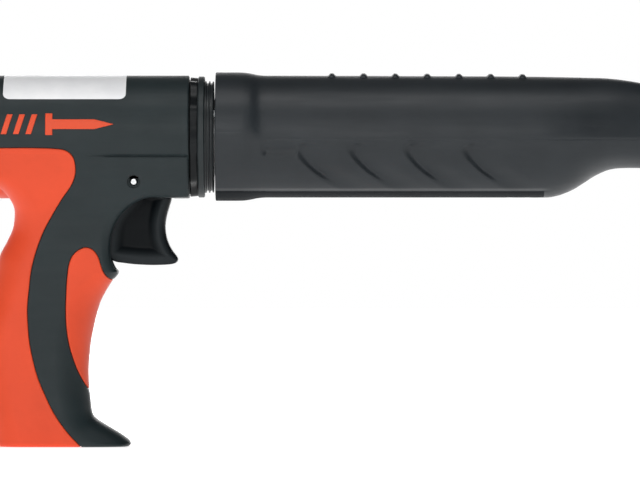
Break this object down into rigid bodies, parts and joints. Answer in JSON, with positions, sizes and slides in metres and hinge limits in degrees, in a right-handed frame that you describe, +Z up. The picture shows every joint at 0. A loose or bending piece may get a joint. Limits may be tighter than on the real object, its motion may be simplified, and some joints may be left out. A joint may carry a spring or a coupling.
{
  "type": "powder-actuated nail gun",
  "caption": "Hand-held powder-actuated nail gun with a pistol grip, trigger and a sliding barrel sleeve that drives a nail with a captive piston.",
  "frame": {"origin": "centre of the muzzle's flat work face, on the bore axis", "axes": "+X out of the muzzle in the drive direction, +Z up with the handle hanging down, +Y the tool's left side"},
  "size_m": [0.354, 0.057, 0.1645],
  "materials": {
    "housing_polymer": "glass-filled nylon, fine grain, dark blue grey",
    "cap_polymer": "glass-filled nylon, fine grain",
    "sleeve_polymer": "glass-filled nylon, fine grain, satin",
    "trigger_polymer": "smooth black nylon",
    "orange_elastomer": "soft overmoulded elastomer, orange",
    "badge_orange": "raised orange plastic",
    "label_film": "satin white vinyl film",
    "zinc_screws": "zinc plated",
    "ring_metal": "glossy dark plating",
    "buffer_rubber": "hard black rubber",
    "receiver_steel": "turned steel, phosphated",
    "barrel_steel": "turned steel",
    "muzzle_steel": "turned and hardened steel",
    "piston_steel": "ground steel",
    "dark_steel": "blackened steel",
    "bright_steel": "ground steel",
    "spring_steel": "drawn spring wire",
    "bronze": "sintered bronze",
    "bush_polymer": "natural acetal"
  },
  "bodies": {
    "housing": {"housing_right": "housing_polymer", "housing_left": "housing_polymer", "rear_grip_right": "orange_elastomer", "rear_grip_left": "orange_elastomer", "front_grip_right": "orange_elastomer", "front_grip_left": "orange_elastomer", "end_cap": "cap_polymer", "end_cap_screws": "zinc_screws", "housing_screws": "zinc_screws", "top_label": "label_film", "badge_right": "badge_orange", "badge_left": "badge_orange", "front_ring": "ring_metal", "buffer_ring": "buffer_rubber", "receiver_tube": "receiver_steel", "front_bushing": "bronze", "breech_block": "dark_steel", "breech_pins": "bright_steel", "extractor": "bright_steel", "rear_plug": "dark_steel", "main_spring": "spring_steel", "return_spring": "spring_steel", "trigger_pin": "bright_steel", "sear_pin": "bright_steel", "trigger_spring": "spring_steel", "stop_pin": "bright_steel", "stop_pin_clip": "spring_steel"},
    "trigger": {"trigger": "trigger_polymer"},
    "sear_lever": {"sear_lever": "dark_steel"},
    "striker": {"firing_pin": "bright_steel", "striker_collar": "dark_steel"},
    "barrel": {"barrel": "barrel_steel", "piston_buffer": "buffer_rubber", "muzzle": "muzzle_steel", "muzzle_nut": "dark_steel", "sleeve": "sleeve_polymer", "sleeve_bush": "bush_polymer", "sleeve_pins": "bright_steel"},
    "piston": {"piston": "piston_steel", "piston_rings": "dark_steel"}
  },
  "joints": [
    {"name": "barrel_slide", "type": "slide", "parent": "housing", "child": "barrel", "axis": [1, 0, 0], "range_m": [-0.0108, 0.075], "deforming": ["return_spring"]},
    {"name": "piston_drive", "type": "slide", "parent": "barrel", "child": "piston", "axis": [1, 0, 0], "range_m": [0, 0.072]},
    {"name": "trigger_pull", "type": "hinge", "parent": "housing", "child": "trigger", "pos_m": [-0.264, 0, -0.0198], "axis": [0, 1, 0], "range_deg": [0, 16], "stiffness_Nm_per_rad": 1.2, "springref_deg": -14.32, "deforming": ["trigger_spring"]},
    {"name": "lever_swing", "type": "hinge", "parent": "housing", "child": "sear_lever", "pos_m": [-0.286, 0, -0.025], "axis": [0, 1, 0], "range_deg": [-25.6, 0]},
    {"name": "striker_draw", "type": "slide", "parent": "housing", "child": "striker", "axis": [1, 0, 0], "range_m": [-0.00656, 0], "deforming": ["main_spring"]}
  ],
  "couplings": [
    {"joint": "lever_swing", "follows": "trigger_pull", "ratio": -1.6},
    {"joint": "striker_draw", "follows": "trigger_pull", "m_per_rad": -0.023491}
  ]
}
